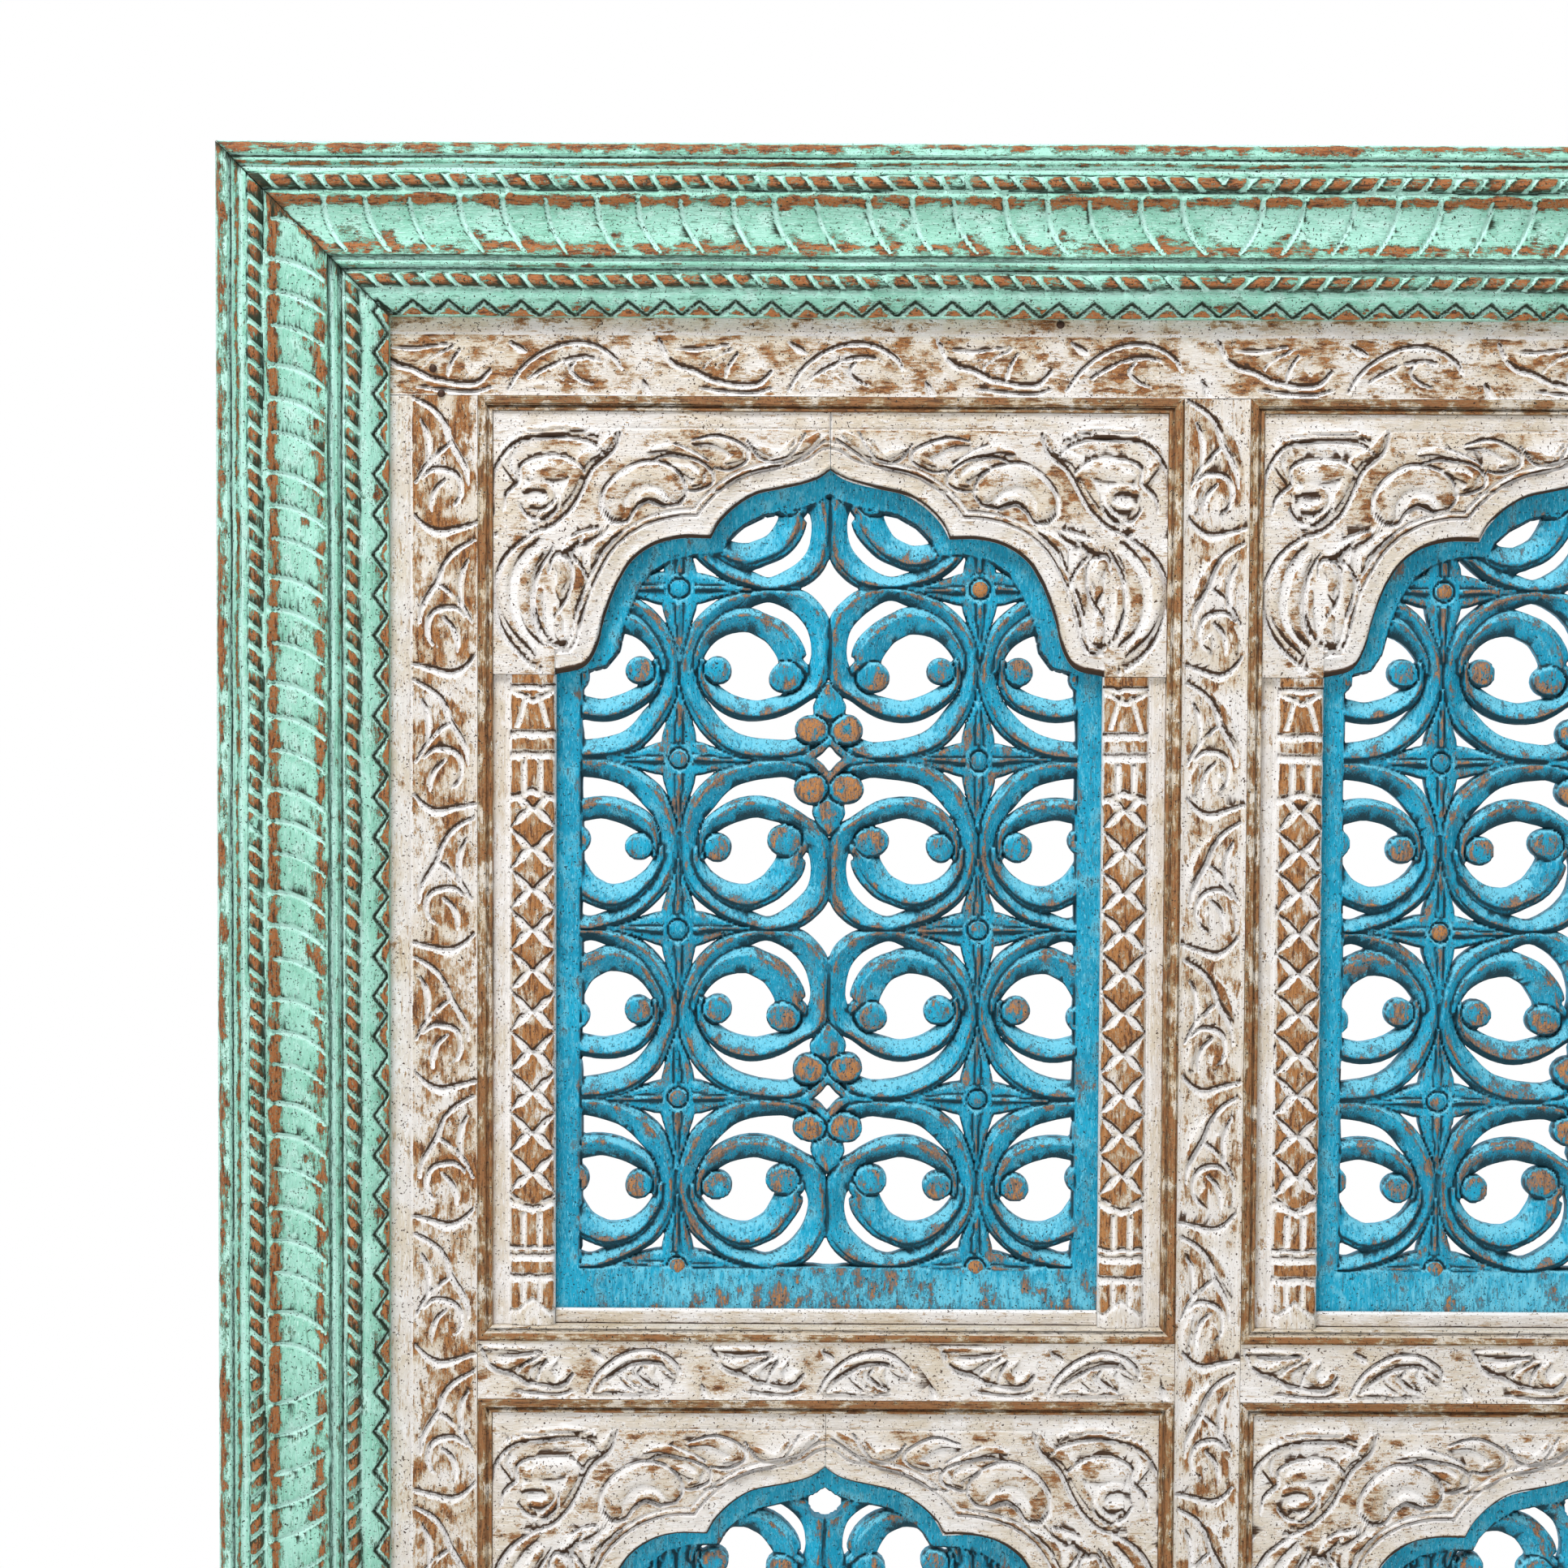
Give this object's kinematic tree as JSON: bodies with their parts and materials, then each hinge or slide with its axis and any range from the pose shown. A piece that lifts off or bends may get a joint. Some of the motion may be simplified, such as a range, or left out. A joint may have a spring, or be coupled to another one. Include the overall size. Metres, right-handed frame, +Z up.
{
  "type": "carved wall panel",
  "caption": "Carved wooden wall panel: a moulded green frame around whitewashed cusped arches, each filled with a pierced blue scroll lattice.",
  "frame": {"origin": "middle of the panel's flat back, where it lies against the wall", "axes": "+Z up the panel, +X to the right as seen from the front, +Y into the wall; the carved front faces -Y"},
  "size_m": [1.216, 0.049, 1.5],
  "materials": {
    "carved_green_frame": "mint green paint rubbed back to brown wood on the high parts, satin",
    "carved_whitewash": "whitewash rubbed back to brown wood, matt",
    "rubbed_moulding": "brown wood with traces of whitewash, matt",
    "pierced_blue_lattice": "turquoise blue paint rubbed back to brown wood, satin"
  },
  "bodies": {
    "root": {"frame_top": "carved_green_frame", "frame_bottom": "carved_green_frame", "frame_left": "carved_green_frame", "frame_right": "carved_green_frame", "stile_left": "carved_whitewash", "stile_right": "carved_whitewash", "rail_top": "carved_whitewash", "rail_bottom": "carved_whitewash", "mullion": "carved_whitewash", "rail_middle_left": "carved_whitewash", "rail_middle_right": "carved_whitewash", "lattice_upper_left": "pierced_blue_lattice", "spandrel_upper_left_a": "carved_whitewash", "column_upper_left_a": "carved_whitewash", "spandrel_upper_left_b": "carved_whitewash", "column_upper_left_b": "carved_whitewash", "moulding_upper_left_top": "rubbed_moulding", "moulding_upper_left_sill": "rubbed_moulding", "moulding_upper_left_left": "rubbed_moulding", "moulding_upper_left_right": "rubbed_moulding", "lattice_upper_right": "pierced_blue_lattice", "spandrel_upper_right_a": "carved_whitewash", "column_upper_right_a": "carved_whitewash", "spandrel_upper_right_b": "carved_whitewash", "column_upper_right_b": "carved_whitewash", "moulding_upper_right_top": "rubbed_moulding", "moulding_upper_right_sill": "rubbed_moulding", "moulding_upper_right_left": "rubbed_moulding", "moulding_upper_right_right": "rubbed_moulding", "lattice_lower_left": "pierced_blue_lattice", "spandrel_lower_left_a": "carved_whitewash", "column_lower_left_a": "carved_whitewash", "spandrel_lower_left_b": "carved_whitewash", "column_lower_left_b": "carved_whitewash", "moulding_lower_left_top": "rubbed_moulding", "moulding_lower_left_sill": "rubbed_moulding", "moulding_lower_left_left": "rubbed_moulding", "moulding_lower_left_right": "rubbed_moulding", "lattice_lower_right": "pierced_blue_lattice", "spandrel_lower_right_a": "carved_whitewash", "column_lower_right_a": "carved_whitewash", "spandrel_lower_right_b": "carved_whitewash", "column_lower_right_b": "carved_whitewash", "moulding_lower_right_top": "rubbed_moulding", "moulding_lower_right_sill": "rubbed_moulding", "moulding_lower_right_left": "rubbed_moulding", "moulding_lower_right_right": "rubbed_moulding"}
  },
  "joints": []
}
